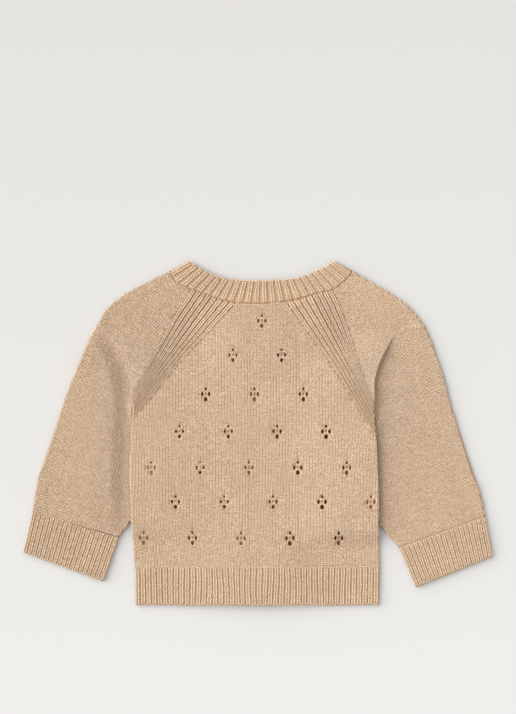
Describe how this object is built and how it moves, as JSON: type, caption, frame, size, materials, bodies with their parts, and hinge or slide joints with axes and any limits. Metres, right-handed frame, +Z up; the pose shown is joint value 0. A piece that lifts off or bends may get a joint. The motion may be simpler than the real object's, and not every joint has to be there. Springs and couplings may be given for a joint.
{
  "type": "baby cardigan",
  "caption": "Fine-knit baby cardigan laid flat on its buttoned front, with raglan long sleeves, lace eyelet back and ribbed hem, cuffs and neckband.",
  "frame": {"origin": "on the surface the garment lies on, under the middle of its bounding box", "axes": "+X towards the wearer's right side, which is the right of the picture; +Y from the hem to the neck; +Z up from the surface, out of the back panel"},
  "size_m": [0.4216, 0.3088, 0.0099],
  "materials": {
    "body_knit": "fine plain knit in warm beige wool, matt and slightly fuzzy",
    "sleeve_knit": "the same fine plain knit, matt and slightly fuzzy",
    "rib_knit": "one by one rib in the same beige wool, matt",
    "button": "pale cream, satin"
  },
  "bodies": {
    "root": {"back": "body_knit", "back_hem": "rib_knit", "left_front": "body_knit", "left_front_hem": "rib_knit", "left_sleeve": "sleeve_knit", "left_cuff": "rib_knit", "right_front": "body_knit", "right_front_hem": "rib_knit", "right_sleeve": "sleeve_knit", "right_cuff": "rib_knit", "neckband": "rib_knit", "button_band": "rib_knit", "buttonhole_band": "rib_knit", "button_1": "button", "button_2": "button", "button_3": "button", "button_4": "button", "button_5": "button"}
  },
  "joints": []
}
